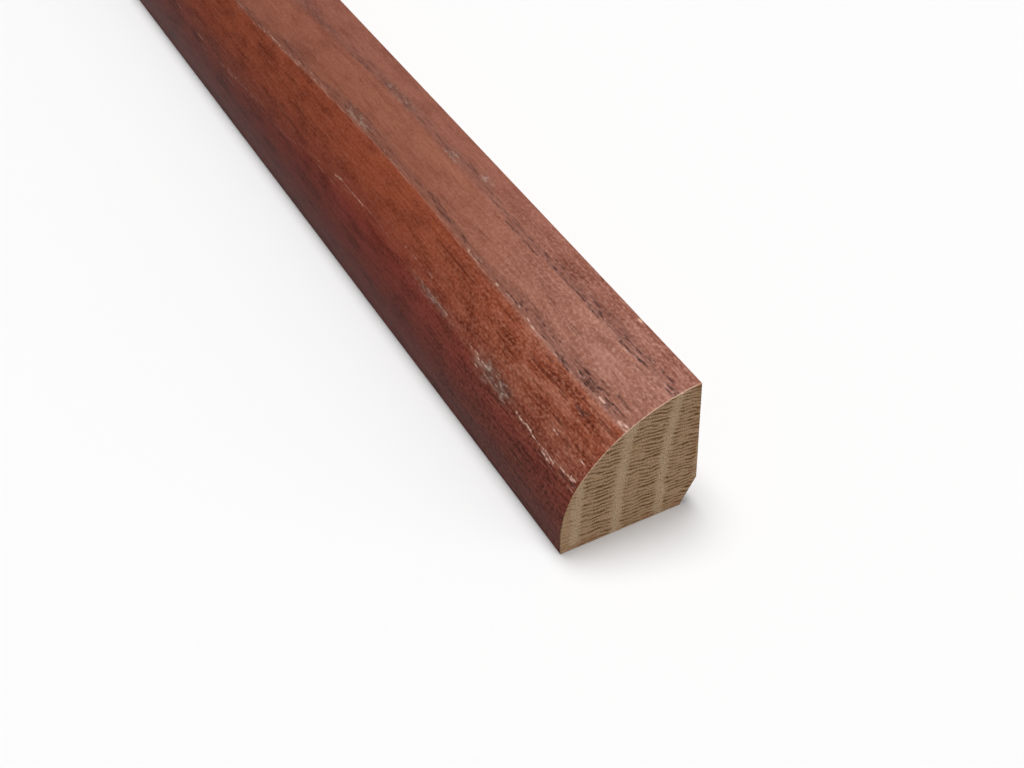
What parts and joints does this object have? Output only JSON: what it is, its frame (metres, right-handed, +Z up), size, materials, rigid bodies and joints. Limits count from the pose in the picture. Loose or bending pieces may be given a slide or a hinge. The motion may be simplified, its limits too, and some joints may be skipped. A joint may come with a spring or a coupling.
{
  "type": "quarter round moulding",
  "caption": "Straight length of stained oak quarter round trim with a flat base, a flat back, a planed-off heel and a rounded face that covers the joint between floor and wall.",
  "frame": {"origin": "centre of the bounding box at its bottom, on the floor under the middle of the stock", "axes": "+X towards the flat back that meets the wall, +Y along the stock, +Z up from the base"},
  "size_m": [0.019, 1.9812, 0.019],
  "materials": {
    "stained_oak": "satin"
  },
  "bodies": {
    "root": {"quarter_round": "stained_oak"}
  },
  "joints": []
}
